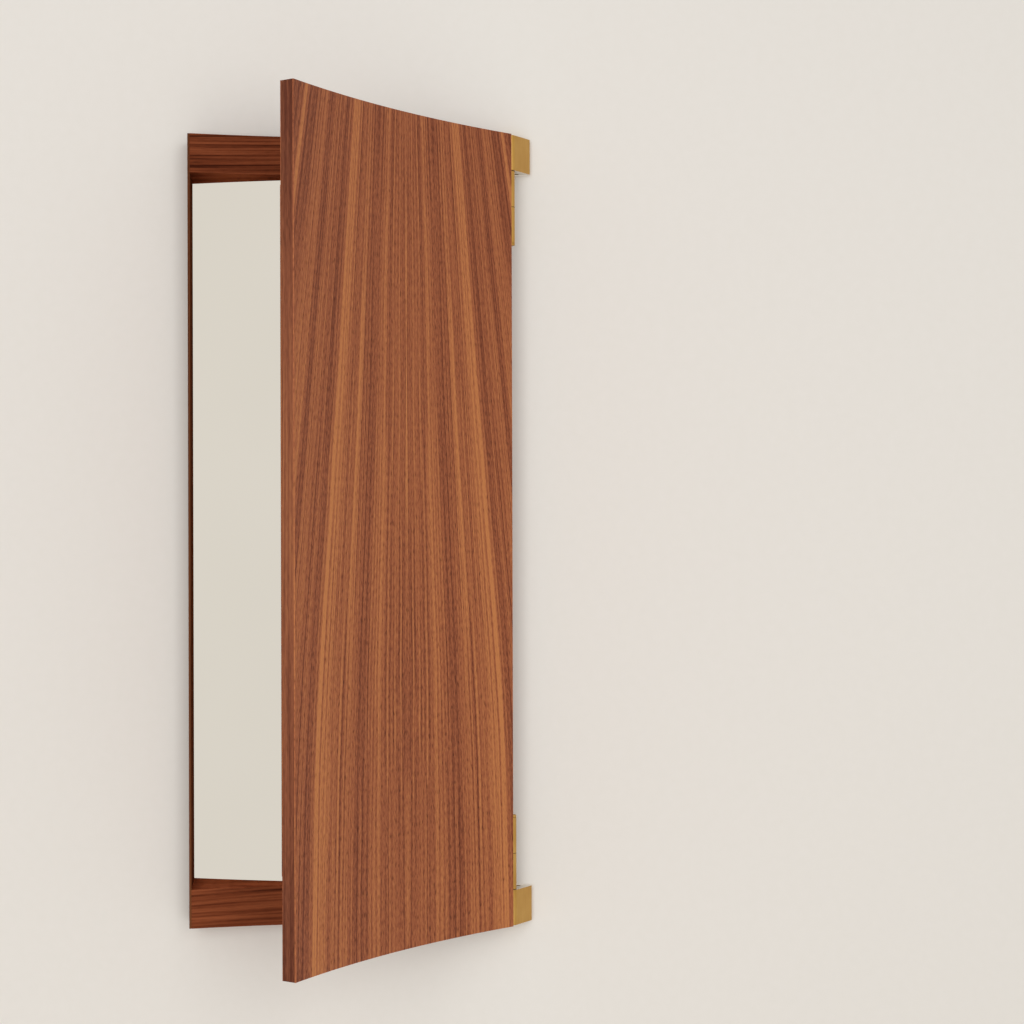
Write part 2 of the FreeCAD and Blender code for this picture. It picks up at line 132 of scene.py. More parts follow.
def walnut(name, look, grainMap=None, turn=(0, 0, 0), bands=None, paintedEndShade=None):
    material, tree, shader = newMaterial(name)
    sizes = {**walnutSizes, **look.get("sizes", {})}
    if grainMap:
        place = addNode(tree, "UVMap", uv_map=grainMap).outputs["UV"]
    else:
        place = addNode(tree, "TexCoord").outputs["Object"]
    # millimetres, with the grain along Y
    inMm = addNode(tree, "Mapping", {"Vector": place, "Rotation": turn, "Scale": (1 / mm,) * 3}).outputs[0]
    matched = inMm
    if bands:   # the two halves of a book-matched veneer mirror each other
        matched = addNode(tree, "VectorMath", {0: inMm}, operation="ABSOLUTE").outputs[0]
    noise = {}
    moved = matched
    for part in ("wander", "broad", "line", "fleck", "pore"):
        across, along, detail = sizes[part]
        base = inMm if part in ("fleck", "pore") else moved
        # a calm wood changes more slowly along X, which is the depth of a rail
        perCell = (1 / (across * look.get("calm", 1)), 1 / along, 1 / across)
        squeezed = addNode(tree, "VectorMath", {0: base, 1: perCell}, operation="MULTIPLY").outputs[0]
        shifted = addNode(tree, "VectorMath", {0: squeezed, 1: (look["seed"], 0, look["seed"])}).outputs[0]
        cells = addNode(tree, "TexNoise", {"Vector": shifted, "Scale": 1.0, "Detail": detail}).outputs
        noise[part] = cells[0]
        if part == "wander":
            centred = addNode(tree, "VectorMath", {0: cells["Color"], 1: (0.5, 0.5, 0.5)},
                              operation="SUBTRACT").outputs[0]
            reach = 2 * sizes["wanderMm"]
            moved = addNode(tree, "VectorMath", {0: centred, 1: (reach, 0, reach), 2: matched},
                            operation="MULTIPLY_ADD").outputs[0]
    # tone: 0 is the darkest streak and 1 the lightest
    tone = look["tone"] - (look["broadShare"] + look["lineShare"] + look["fleckShare"]) / 2
    for part in ("broad", "line", "fleck"):
        tone = addNode(tree, "Math", {0: noise[part], 1: look[part + "Share"], 2: tone},
                       operation="MULTIPLY_ADD").outputs[0]
    if bands:
        acrossMm = addNode(tree, "SeparateXYZ", {0: moved}).outputs[0]
        share = addNode(tree, "Math", {0: acrossMm, 1: bands["reachMm"]}, operation="DIVIDE").outputs[0]
        stops = greyStops(bands["streaks"], bands["reachMm"])
        streak = addNode(tree, "ValToRGB", {"Fac": share}, stops=stops).outputs["Color"]
        tone = addNode(tree, "Math", {0: streak, 1: bands["share"], 2: tone},
                       operation="MULTIPLY_ADD").outputs[0]
    if "ringMm" in look:
        each = 1 / look["ringMm"]
        tilted = (look["ringTilt"] * each, 0, each)
        rings = addNode(tree, "VectorMath", {0: moved, 1: tilted}, operation="DOT_PRODUCT")
        share = addNode(tree, "Math", {0: rings.outputs["Value"], 1: look["seed"]}).outputs[0]
        share = addNode(tree, "Math", {0: share}, operation="FRACT").outputs[0]
        ring = addNode(tree, "ValToRGB", {"Fac": share}, stops=greyStops(ringTones)).outputs["Color"]
        tone = addNode(tree, "Math", {0: ring, 1: look["ringShare"], 2: tone},
                       operation="MULTIPLY_ADD").outputs[0]
    if paintedEndShade:   # painted shade over the length, for a piece drawn darker towards its ends, where less light falls
        alongMm = addNode(tree, "SeparateXYZ", {0: inMm}).outputs[1]
        share = addNode(tree, "MapRange", {"Value": alongMm, "From Min": paintedEndShade["fromMm"],
                                           "From Max": paintedEndShade["toMm"]}).outputs[0]
        stops = greyStops(paintedEndShade["tones"])
        level = addNode(tree, "ValToRGB", {"Fac": share}, stops=stops).outputs["Color"]
        tone = addNode(tree, "Math", {0: level, 1: tone}).outputs[0]
    colourStops = [(at, linearColour(look[key])) for at, key in colourPlaces]
    wood = addNode(tree, "ValToRGB", {"Fac": tone}, stops=colourStops).outputs["Color"]
    if "innerLift" in look:   # painted light: faces beside the glass are made paler, for the light the glass throws onto them
        lift = (look["innerLift"],) * 3 + (1.0,)
        mask = lookingIn(tree, (1, 0, 1), sizes["innerFromM"], sizes["innerFullM"])
        wood = addNode(tree, "Mix", {0: mask, 6: wood, 7: lift}, data_type="RGBA",
                       blend_type="MULTIPLY").outputs[2]
    poreMask = addNode(tree, "MapRange", {"Value": noise["pore"], "From Min": sizes["poreFrom"],
                                          "From Max": sizes["poreTo"]}).outputs[0]
    fullDepth = look["poreShare"] * sizes["poreFade"]
    poreDepth = addNode(tree, "Math", {0: tone, 1: -look["poreShare"], 2: fullDepth},
                        operation="MULTIPLY_ADD", use_clamp=True).outputs[0]
    poreShare = addNode(tree, "Math", {0: poreMask, 1: poreDepth}, operation="MULTIPLY").outputs[0]
    colour = addNode(tree, "Mix", {0: poreShare, 6: wood, 7: linearColour(look["pore"])}, data_type="RGBA")
    roughness = addNode(tree, "MapRange", {"Value": poreMask, "To Min": look["roughness"],
                                           "To Max": look["roughness"] + sizes["poreRoughness"]}).outputs[0]
    relief = addNode(tree, "Math", {0: noise["line"], 1: sizes["lineRelief"]},
                     operation="MULTIPLY").outputs[0]
    relief = addNode(tree, "Math", {0: relief, 1: poreMask}, operation="SUBTRACT").outputs[0]
    bump = addNode(tree, "Bump", {"Strength": sizes["bump"], "Distance": look["reliefMm"] * mm,
                                  "Height": relief})
    shader.inputs["Specular IOR Level"].default_value = look["shine"]
    tree.links.new(colour.outputs[2], shader.inputs["Base Color"])
    tree.links.new(roughness, shader.inputs["Roughness"])
    tree.links.new(bump.outputs[0], shader.inputs["Normal"])
    return material


# Any other finish: two tones in a noise of a real size, with its own gloss and a shallow relief.
# The tones and the gloss change between these levels of the noise, which stays near its middle.
finishNoise = {"toneFrom": 0.35, "toneTo": 0.65, "glossFrom": 0.3, "glossTo": 0.7, "grainDetail": 3.0,
               "cloudDetail": 2.0, "bump": 0.25}


def madeFinish(name, look):
    material, tree, shader = newMaterial(name)
    place = addNode(tree, "TexCoord").outputs["Object"]
    across, along = look["grainMm"]
    inMm = addNode(tree, "Mapping", {"Vector": place, "Rotation": look.get("turn", (0, 0, 0)),
                                     "Scale": (1 / mm,) * 3}).outputs[0]
    fine = addNode(tree, "VectorMath", {0: inMm, 1: (1 / across, 1 / along, 1 / across)},
                   operation="MULTIPLY").outputs[0]
    grain = addNode(tree, "TexNoise", {"Vector": fine, "Scale": 1.0,
                                       "Detail": finishNoise["grainDetail"]}).outputs[0]
    cloud = addNode(tree, "TexNoise", {"Vector": place, "Scale": 1 / (look["cloudMm"] * mm),
                                       "Detail": finishNoise["cloudDetail"]}).outputs[0]
    both = addNode(tree, "Math", {0: grain, 1: cloud}).outputs[0]
    mean = addNode(tree, "Math", {0: both, 1: 0.5}, operation="MULTIPLY").outputs[0]
    stops = [(finishNoise["toneFrom"], linearColour(look["dark"])),
             (finishNoise["toneTo"], linearColour(look["light"]))]
    colour = addNode(tree, "ValToRGB", {"Fac": mean}, stops=stops).outputs["Color"]
    # painted reflection: faces that look inwards along Z, past a height, take the pale inner colour
    if "inner" in look:
        mask = lookingIn(tree, (0, 0, 1), look["innerPastM"], look["innerPastM"] + look["innerFadeMm"] * mm)
        colour = addNode(tree, "Mix", {0: mask, 6: colour, 7: linearColour(look["inner"])},
                         data_type="RGBA").outputs[2]
    low, high = look["roughness"]
    roughness = addNode(tree, "MapRange", {"Value": grain, "From Min": finishNoise["glossFrom"],
                                           "From Max": finishNoise["glossTo"], "To Min": low,
                                           "To Max": high}).outputs[0]
    bump = addNode(tree, "Bump", {"Strength": finishNoise["bump"], "Distance": look["reliefMm"] * mm,
                                  "Height": grain})
    shader.inputs["Metallic"].default_value = look.get("metallic", 0.0)
    shader.inputs["Sheen Weight"].default_value = look.get("sheen", 0.0)
    tree.links.new(colour, shader.inputs["Base Color"])
    tree.links.new(roughness, shader.inputs["Roughness"])
    tree.links.new(bump.outputs[0], shader.inputs["Normal"])
    return material


# Silvered float glass: a bright, faintly warm mirror, with a ground edge where the green of the glass shows.
mirrorLook = {
    "silver": "#efece6", "haze": "#e9e6df", "edge": "#86a093", "hazeMm": 180.0,
    "arrisMm": 0.1, "intoGapMm": 0.4,
    "edgeFromMm": 0.02, "edgeToMm": 0.06,                    # depth behind the face
    "roughness": (0.012, 0.3), "metallic": (1.0, 0.2),       # of the face and of the edge
}


def silveredGlass(name, frontY):
    material, tree, shader = newMaterial(name)
    place = addNode(tree, "TexCoord").outputs["Object"]
    haze = addNode(tree, "TexNoise", {"Vector": place, "Scale": 1 / (mirrorLook["hazeMm"] * mm)}).outputs[0]
    silver = addNode(tree, "Mix", {0: haze, 6: linearColour(mirrorLook["silver"]),
                                   7: linearColour(mirrorLook["haze"])}, data_type="RGBA").outputs[2]
    depth = addNode(tree, "SeparateXYZ", {0: place}).outputs[1]
    edge = addNode(tree, "MapRange", {"Value": depth, "From Min": frontY + mirrorLook["edgeFromMm"] * mm,
                                      "From Max": frontY + mirrorLook["edgeToMm"] * mm}).outputs[0]
    colour = addNode(tree, "Mix", {0: edge, 6: silver, 7: linearColour(mirrorLook["edge"])},
                     data_type="RGBA")
    tree.links.new(colour.outputs[2], shader.inputs["Base Color"])
    for socket in ("Roughness", "Metallic"):
        onFace, onEdge = mirrorLook[socket.lower()]
        change = addNode(tree, "MapRange", {"Value": edge, "To Min": onFace, "To Max": onEdge}).outputs[0]
        tree.links.new(change, shader.inputs[socket])
    return material


# the corners of every triangle of a CAD node, at rest
def nodePoints(node):
    vertices = frame["nodes"][node].data.vertices
    points = np.empty(len(vertices) * 3)
    vertices.foreach_get("co", points)
    return points.reshape(-1, 3)


sharpDegrees = 28   # edges that turn by more stay sharp


# Skin over a stack of closed rings: point j of ring i joins point j of ring i + 1, and flat caps close
# both ends. It is turned inside out if the volume under it, summed from its triangles, is negative.
def skinOver(name, rings, grainUv=None):
    count, around = rings.shape[:2]
    vertices = rings.reshape(-1, 3)
    i, j = np.meshgrid(np.arange(count - 1), np.arange(around), indexing="ij")
    nextJ = (j + 1) % around
    ring, above = i * around, (i + 1) * around
    quads = np.stack([ring + j, ring + nextJ, above + nextJ, above + j], -1).reshape(-1, 4)
    first, last = np.arange(around)[::-1], np.arange(around) + (count - 1) * around
    fans = [np.stack([np.full(around - 2, cap[0]), cap[1:-1], cap[2:]], -1) for cap in (first, last)]
    triangles = np.concatenate([quads[:, :3], quads[:, [0, 2, 3]], *fans])
    a, b, c = (vertices[triangles[:, k]] for k in range(3))
    if (a * np.cross(b, c)).sum() < 0:
        quads, first, last = quads[:, ::-1], first[::-1], last[::-1]
    mesh = bpy.data.meshes.new(name)
    mesh.from_pydata(vertices.tolist(), [], quads.tolist() + [first.tolist(), last.tolist()])
    if grainUv is not None:
        corner = np.empty(len(mesh.loops), int)
        mesh.loops.foreach_get("vertex_index", corner)
        layer = mesh.uv_layers.new(name="grain")
        layer.data.foreach_set("uv", grainUv.reshape(-1, 2)[corner].ravel())
    mesh.polygons.foreach_set("use_smooth", np.ones(len(mesh.polygons), bool))
    mesh.set_sharp_from_angle(angle=math.radians(sharpDegrees))
    mesh.update()
    piece = bpy.data.objects.new(name, mesh)
    bpy.context.scene.collection.objects.link(piece)
    return piece


# Closed outline drawn in by a distance: each point moves along the mitre of the normals of its two sides.
def drawnIn(outline, distance):
    side = np.roll(outline, -1, 0) - outline
    normal = np.stack([-side[:, 1], side[:, 0]], -1) / np.linalg.norm(side, axis=1, keepdims=True)
    area = (outline[:, 0] * np.roll(outline[:, 1], -1) - np.roll(outline[:, 0], -1) * outline[:, 1]).sum()
    normal = normal * np.sign(area)
    before = np.roll(normal, 1, 0)
    mitre = (before + normal) / (1 + (before * normal).sum(1, keepdims=True))
    return outline + mitre * distance


# Heights along a bar with rounded ends, and how far the outline is drawn in at each:
# on a quarter circle of radius ease, height ease * (1 - cos) goes with an inset of ease * (1 - sin).
def easedHeights(low, high, ease, steps, bendSteps=5):
    bend = np.linspace(0, math.pi / 2, bendSteps)
    lift, inset = ease * (1 - np.cos(bend)), ease * (1 - np.sin(bend))
    between = np.linspace(low + ease, high - ease, steps)[1:-1]
    heights = np.concatenate([low + lift, between, (high - lift)[::-1]])
    insets = np.concatenate([inset, np.zeros(steps - 2), inset[::-1]])
    return heights, insets


# Outline carried up in Z: one ring at each height, drawn in by the inset there.
def carriedUp(outline, heights, insets):
    return np.stack([np.column_stack([drawnIn(outline, d), np.full(len(outline), z)])
                     for z, d in zip(heights, insets)])


# Corner rounded by an arc of the given radius, between the directions to its two neighbours in the plan.
def roundedCorner(corner, towardsA, towardsB, radius, count=6):
    a = towardsA / np.linalg.norm(towardsA)
    b = towardsB / np.linalg.norm(towardsB)
    middle = (a + b) / np.linalg.norm(a + b)
    half = math.acos(float(np.clip(a @ middle, -1, 1)))
    centre = corner + middle * radius / math.sin(half)
    start = corner + a * radius / math.tan(half) - centre
    end = corner + b * radius / math.tan(half) - centre
    t = np.linspace(0, 1, count)[:, None]
    spokes = start * (1 - t) + end * t
    return centre + radius * spokes / np.linalg.norm(spokes, axis=1, keepdims=True)


# the chosen corners of a closed plan, each rounded towards its two neighbours
def easedCorners(corners, chosen, radius):
    towardsLast = np.roll(corners, 1, 0) - corners
    towardsNext = np.roll(corners, -1, 0) - corners
    return [roundedCorner(corners[k], towardsLast[k], towardsNext[k], radius) for k in chosen]


def finishPiece(piece, material, body, slot, *nodes):
    piece.data.materials.append(material)
    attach(piece, body)
    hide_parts(*nodes)
    return piece


def coatNodes(material, *nodes):
    for node in nodes:
        slots = frame["nodes"][node].data.materials
        slots.clear()
        slots.append(material)


# The circle that the cover follows, from the outer arc of its face veneer:
# x2 + y2 = 2 a x + 2 b y + c is solved in least squares, first on all points, then on the inner ones alone.
circleFit = {"rounds": 4, "innerPercent": 25}


def coverCircle():
    points = nodePoints("cover_face_veneer")[:, :2]
    kept = points
    for _ in range(circleFit["rounds"]):
        table = np.column_stack([2 * kept, np.ones(len(kept))])
        centre = np.linalg.lstsq(table, (kept ** 2).sum(1), rcond=None)[0][:2]
        away = np.linalg.norm(points - centre, axis=1)
        kept = points[away < np.percentile(away, circleFit["innerPercent"])]
    return centre


hinge = np.array(frame["joints"][0]["pos_m"])
curveCentre = coverCircle()
middle = nodePoints("cover_core")[:, :2].mean(0) - curveCentre
middleAngle = math.atan2(middle[1], middle[0])


# angle of plan points from the cover's middle, between minus and plus half a turn
def angleFromMiddle(points):
    plan = points - curveCentre
    angle = np.arctan2(plan[:, 1], plan[:, 0]) - middleAngle
    return (angle + math.pi) % (2 * math.pi) - math.pi


# a node of the cover on that circle: its two radii, its two angles from the middle, and its two heights
def onCircle(node):
    points = nodePoints(node)
    away = np.linalg.norm(points[:, :2] - curveCentre, axis=1)
    angle = angleFromMiddle(points[:, :2])
    return away.min(), away.max(), angle.min(), angle.max(), points[:, 2].min(), points[:, 2].max()


# point of the plan at a radius and an angle from the cover's middle
def planPoint(radius, angle):
    turned = np.asarray(angle) + middleAngle
    return curveCentre + np.stack([radius * np.cos(turned), radius * np.sin(turned)], -1)


near, far, angleLow, angleHigh, coverLow, coverHigh = onCircle("cover_face_veneer")
hingeAngle, freeAngle = sorted((angleLow, angleHigh),
                               key=lambda angle: np.linalg.norm(planPoint(near, angle) - hinge[:2]))
print("cover radius", round(near, 4), "m, arc", round(abs(freeAngle - hingeAngle) * near / mm, 1), "mm")

# The face veneer: two leaves of one flitch, matched about a line up the cover.
# Their streaks fan out downwards, so the distance from the line is divided by a spread that grows downwards.
faceVeneer = {
    "dark": "#723924", "mid": "#9f5b3a", "light": "#c17b49", "pore": "#4d2415",
    "tone": -0.31, "broadShare": 0.2, "lineShare": 1.6, "fleckShare": 1.0, "poreShare": 0.6,
    "ringMm": 5.0, "ringShare": 0.28, "ringTilt": 1.0,
    "sizes": {"line": (1.8, 600.0, 2.0), "fleck": (1.0, 5.0, 2.0), "pore": (1.0, 6.0, 1.0)},
    "roughness": 0.42, "shine": 0.12, "reliefMm": 0.12, "seed": 3.1,
    "matchFromFreeEdgeMm": 150.5,
    "spreadUpPerMm": 0.00102, "spreadDown": 0.28, "spreadDownMm": 260.0,
    "steps": 64, "cornerMm": 0.5, "endEaseMm": 0.25,
    "besideCorner": 1.2,   # a plan point stands this many corner radii before the free corner
}
# Tone of the streaks at distances in mm from the matching line, at mid height. On the hinge side the outer
# streaks lie closer together, past squeezeFromMm.
faceStreaks = {
    "reachMm": 230.0, "share": 1.0, "squeezeFromMm": 105.0, "squeeze": 0.2, "cornerHighlightMm": 158.0,
    "streaks": [
        (0, 0.58), (5, 0.34), (7, 0.50), (24, 0.52), (26, 0.22), (28.5, 0.54), (33, 0.74), (38, 0.62),
        (43, 0.42), (50, 0.34), (62, 0.42), (66, 0.66), (71, 0.66), (74, 0.42), (78, 0.58), (83, 0.46),
        (90, 0.68), (94, 0.84), (98, 0.80), (102.5, 0.97), (106.5, 0.42), (111, 0.38), (116, 0.22),
        (121, 0.38), (141, 0.50), (147, 0.26), (158, 0.60), (173, 0.60), (181, 0.38), (196, 0.28),
        (204.5, 0.97), (211, 0.30),
    ],
}

grainBaseM = 1.0   # grain maps count heights from this far below the middle

# painted shade: the ends of the cover are drawn darker than its middle, the top most, where less light falls
paintedFaceShade = {"fromMm": 650.0, "toMm": 1350.0, "tones": [(0.0, 0.06), (0.5, 0.12), (0.85, 0.03), (1.0, 0.0)]}


# Spread of the streaks at a height: it shrinks evenly above the middle, and grows to a limit below it.
def fanSpread(z):
    zMm = z / mm
    above = 1 - faceVeneer["spreadUpPerMm"] * zMm
    below = 1 + faceVeneer["spreadDown"] * np.tanh(-zMm / faceVeneer["spreadDownMm"])
    return np.where(zMm > 0, above, below)


# Bent sheet: its plan outline, an outer arc, a rounded free corner and an inner arc, is carried up in Z.
# Its grain map holds the distance from the matching line over the spread, and the height.
def makeCoverFace():
    angles = np.linspace(hingeAngle, freeAngle, faceVeneer["steps"])
    corner = faceVeneer["cornerMm"] * mm
    beside = freeAngle - np.sign(freeAngle - hingeAngle) * faceVeneer["besideCorner"] * corner / near
    outer, inner = planPoint(near, np.insert(angles, -1, beside)), planPoint(far, angles)[::-1]
    arc = roundedCorner(outer[-1], outer[-2] - outer[-1], inner[0] - outer[-1], corner)
    outline = np.concatenate([outer[:-1], arc, inner])
    fromFree = np.abs(angleFromMiddle(outline) - freeAngle) * near
    across = fromFree - faceVeneer["matchFromFreeEdgeMm"] * mm
    heights, insets = easedHeights(coverLow, coverHigh, faceVeneer["endEaseMm"] * mm, faceVeneer["steps"])
    rings = carriedUp(outline, heights, insets)
    u = across[None, :] / fanSpread(heights)[:, None]
    u = u + faceStreaks["squeeze"] * np.clip(u - faceStreaks["squeezeFromMm"] * mm, 0, None)
    # painted highlight: the corner and the veneer's own thin edge get a pale streak tone, for the light the
    # corner catches
    u[:, len(outer) - 1:len(outer) + len(arc)] = -faceStreaks["cornerHighlightMm"] * mm
    v = np.broadcast_to(heights[:, None] + grainBaseM, u.shape)
    piece = skinOver("coverFace", rings, np.stack([u, v], -1))
    veneer = walnut("book_matched_walnut_veneer", faceVeneer, grainMap="grain", bands=faceStreaks,
                    paintedEndShade=paintedFaceShade)
    return finishPiece(piece, veneer, "cover", "walnut_veneer", "cover_face_veneer")


# The lipping up the free edge: a bar between the veneers, its corners eased so that a glue line shows.
freeEdge = {
    "dark": "#5f3020", "mid": "#8a5036", "light": "#b57549", "pore": "#43200f",
    "tone": -0.1, "broadShare": 0.5, "lineShare": 1.0, "fleckShare": 0.5, "poreShare": 0.4,
    "roughness": 0.45, "shine": 0.12, "reliefMm": 0.12, "seed": 12.4,
    "easeMm": 0.35, "endEaseMm": 0.6, "steps": 24,
}

# painted shade over its length, on the same kind of grain map: darker towards the top and bottom, where less
# light falls
paintedEdgeShade = {"fromMm": 650.0, "toMm": 1350.0,
                "tones": [(0.0, 0.14), (0.2, 0.4), (0.5, 0.56), (0.8, 0.41), (0.95, 0.12)]}


def makeFreeLipping():
    r0, r1, a0, a1, low, high = onCircle("cover_free_lipping")
    innerAngle = a0 if abs(a0 - freeAngle) > abs(a1 - freeAngle) else a1
    corners = np.array([planPoint(r, a) for r, a in
                        ((r0, innerAngle), (r0, freeAngle), (r1, freeAngle), (r1, innerAngle))])
    eased = easedCorners(corners, (1, 2), freeEdge["easeMm"] * mm)
    outline = np.concatenate([corners[:1], *eased, corners[3:]])
    heights, insets = easedHeights(low, high, freeEdge["endEaseMm"] * mm, freeEdge["steps"])
    rings = carriedUp(outline, heights, insets)
    along = np.concatenate([[0], np.cumsum(np.linalg.norm(np.diff(outline, axis=0), axis=1))])
    u, v = np.meshgrid(along, heights + grainBaseM)
    piece = skinOver("freeLipping", rings, np.stack([u, v], -1))
    wood = walnut("lacquered_walnut_edge", freeEdge, grainMap="grain", paintedEndShade=paintedEdgeShade)
    return finishPiece(piece, wood, "cover", "walnut_lipping", "cover_free_lipping")


# The thin strip up the left side: its plan outline, with the two front corners eased, is carried up in Z.
edgeStrip = {"easeMm": 0.4, "endEaseMm": 0.4, "steps": 24, "sideMm": 0.01}


def makeEdgeStrip(material):
    low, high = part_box("left_edge_strip")
    points = nodePoints("left_edge_strip")
    side = edgeStrip["sideMm"] * mm   # points this close to a side belong to it
    frontLeft = points[points[:, 0] < low.x + side, 1].min()
    frontRight = points[points[:, 0] > high.x - side, 1].min()
    corners = np.array([[low.x, 0], [high.x, 0], [high.x, frontRight], [low.x, frontLeft]])
    eased = easedCorners(corners, (2, 3), edgeStrip["easeMm"] * mm)
    outline = np.concatenate([corners[:2], *eased])
    heights, insets = easedHeights(low.z, high.z, edgeStrip["endEaseMm"] * mm, edgeStrip["steps"])
    rings = carriedUp(outline, heights, insets)
    return finishPiece(skinOver("edgeStrip", rings), material, "body", "frame_walnut", "left_edge_strip")


# The mirror: a rectangle carried through the glass, and drawn in at the front by a ground arris.
# It is let a hair into the frame, because its fitting gap would show as a black line.
def makeMirror():
    low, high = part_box("mirror_glass")
    arris = mirrorLook["arrisMm"] * mm
    outline = np.array([[low.x, low.z], [high.x, low.z], [high.x, high.z], [low.x, high.z]])
    outline = drawnIn(outline, -mirrorLook["intoGapMm"] * mm)
    stations = [(high.y, arris / 2), (high.y - arris / 2, 0), (low.y + arris, 0), (low.y, arris)]
    rings = np.stack([np.insert(drawnIn(outline, d), 1, y, axis=1) for y, d in stations])
    glass = silveredGlass("silvered_float_glass", low.y)
    return finishPiece(skinOver("mirrorGlass", rings), glass, "body", "silvered_glass", "mirror_glass")


# Turned pin: a radius for each height is spun about the hinge axis; the cap has a rounded rim, a
# shallow dome, and a small chamfer where it meets the knuckle. Points closer to the axis than centreMm
# are left out when its radii are read from the solid.
hingePin = {"around": 64, "rimMm": 0.5, "domeMm": 0.35, "neckMm": 0.45, "bendSteps": 6, "crownSteps": 8,
            "crownFrom": 0.05, "centreMm": 1.0}


def makeHingePin(name, node, material):
    points = nodePoints(node)
    away = np.linalg.norm(points[:, :2] - hinge[:2], axis=1)
    shaft, cap = away[away > hingePin["centreMm"] * mm].min(), away.max()
    shaft = np.median(away[away < (shaft + cap) / 2])
    wide = points[away > (shaft + cap) / 2, 2]
    outer = wide.min() if abs(wide.min()) < abs(wide.max()) else wide.max()
    inner = wide.max() if outer == wide.min() else wide.min()
    tip = points[:, 2].max() if outer == wide.min() else points[:, 2].min()
    up = 1 if tip > outer else -1
    rim, dome, neck = (hingePin[key] * mm for key in ("rimMm", "domeMm", "neckMm"))
    bend = np.linspace(0, math.pi / 2, hingePin["bendSteps"])
    share = np.linspace(hingePin["crownFrom"], 1, hingePin["crownSteps"])[:-1]
    crown = np.column_stack([share * (cap - rim), outer + up * dome * share ** 2])
    edge = np.column_stack([cap - rim + rim * np.sin(bend), outer + up * (dome + rim * (1 - np.cos(bend)))])
    body = np.array([[cap, inner - up * neck], [cap - neck, inner], [shaft, inner], [shaft, tip - up * rim],
                     [shaft - rim, tip]])
    profile = np.concatenate([crown, edge, body])
    turn = np.linspace(0, 2 * math.pi, hingePin["around"], endpoint=False)
    rings = np.stack([np.column_stack([hinge[0] + r * np.cos(turn), hinge[1] + r * np.sin(turn),
                                       np.full(len(turn), z)]) for r, z in profile])
    return finishPiece(skinOver(name, rings), material, "body", "satin_brass", node)


# Felt discs on the cover's inner face: a radius for each depth is spun about the disc's own axis, with
# a soft rim.
feltPad = {"around": 40, "rimShare": 0.6, "bendSteps": 5, "flatShare": 0.5}


def makeFeltPads(material):
    points = nodePoints("felt_pads")
    fromHinge = np.linalg.norm(points[:, :2] - hinge[:2], axis=1)
    farSide = fromHinge > fromHinge.mean()
    for number, (high, outside) in enumerate(((h, o) for h in (True, False) for o in (True, False)), 1):
        disc = points[((points[:, 2] > 0) == high) & (farSide == outside)]
        centre = (disc.min(0) + disc.max(0)) / 2
        radius = np.ptp(disc[:, 2]) / 2
        axis = np.append(centre[:2] - curveCentre, 0)
        axis = axis / np.linalg.norm(axis)
        depths = (disc - centre) @ axis
        side = np.array([-axis[1], axis[0], 0])
        thick = np.median(depths[depths > 0]) - np.median(depths[depths < 0])
        bend = np.linspace(0, math.pi / 2, feltPad["bendSteps"])
        rim = thick * feltPad["rimShare"]
        profile = np.concatenate([[[radius, -thick / 2]],
                                  np.column_stack([radius - rim + rim * np.cos(bend),
                                                   thick / 2 - rim + rim * np.sin(bend)]),
                                  [[radius * feltPad["flatShare"], thick / 2]]])
        turn = np.linspace(0, 2 * math.pi, feltPad["around"], endpoint=False)[:, None]
        rings = np.stack([centre + axis * d + r * (side * np.cos(turn) + np.array([0, 0, 1]) * np.sin(turn))
                          for r, d in profile])
        pad = skinOver("feltPad%d" % number, rings)
        finishPiece(pad, material, "cover", "brown_felt", "felt_pads")


# Foam tape behind the glass: a rectangle carried through its thickness, its squeezed sides bulging a little.
foamTape = {"bulgeMm": 0.4, "steps": 7, "digits": 5}   # the strips' sides are rounded to these digits


def makeTapes(material):
    points = nodePoints("mirror_tape")
    edges = np.unique(np.round(points[:, 0], foamTape["digits"]))
    low, high = points.min(0), points.max(0)
    for number, (x0, x1) in enumerate(zip(edges[::2], edges[1::2]), 1):
        outline = np.array([[x0, low[2]], [x1, low[2]], [x1, high[2]], [x0, high[2]]])
        share = np.linspace(-1, 1, foamTape["steps"])
        depths = (low[1] + high[1]) / 2 + share * (high[1] - low[1]) / 2
        rings = np.stack([np.insert(drawnIn(outline, foamTape["bulgeMm"] * mm * s * s), 1, y, axis=1)
                          for s, y in zip(share, depths)])
        tape = skinOver("foamTape%d" % number, rings)
        finishPiece(tape, material, "body", "foam_tape", "mirror_tape")


makeCoverFace()
makeFreeLipping()
print("cover face and free edge made")

# turns that bring the grain of a piece onto Y: up the piece, or along the chord of the cover
grainUp = (-math.pi / 2, 0, 0)
chord = planPoint(near, freeAngle) - planPoint(near, hingeAngle)
grainAlongCover = (0, 0, math.pi / 2 - math.atan2(chord[1], chord[0]))

# Oiled walnut of the frame: darker and redder than the veneer, with dark growth rings.
# Its faces beside the glass are made paler, as painted light from the glass.
frameWood = {
    "dark": "#431d11", "mid": "#733a23", "light": "#935133", "pore": "#35180d",
    "tone": 0.14, "broadShare": 0.5, "lineShare": 1.6, "fleckShare": 0.3, "poreShare": 0.3,
    "ringMm": 8.5, "ringShare": 0.5, "ringTilt": 0.0, "innerLift": 1.5,
    "sizes": {"wander": (16.0, 700.0, 1.0), "line": (1.8, 600.0, 1.0), "wanderMm": 3.0},
    "roughness": 0.6, "shine": 0.0, "reliefMm": 0.12,
}
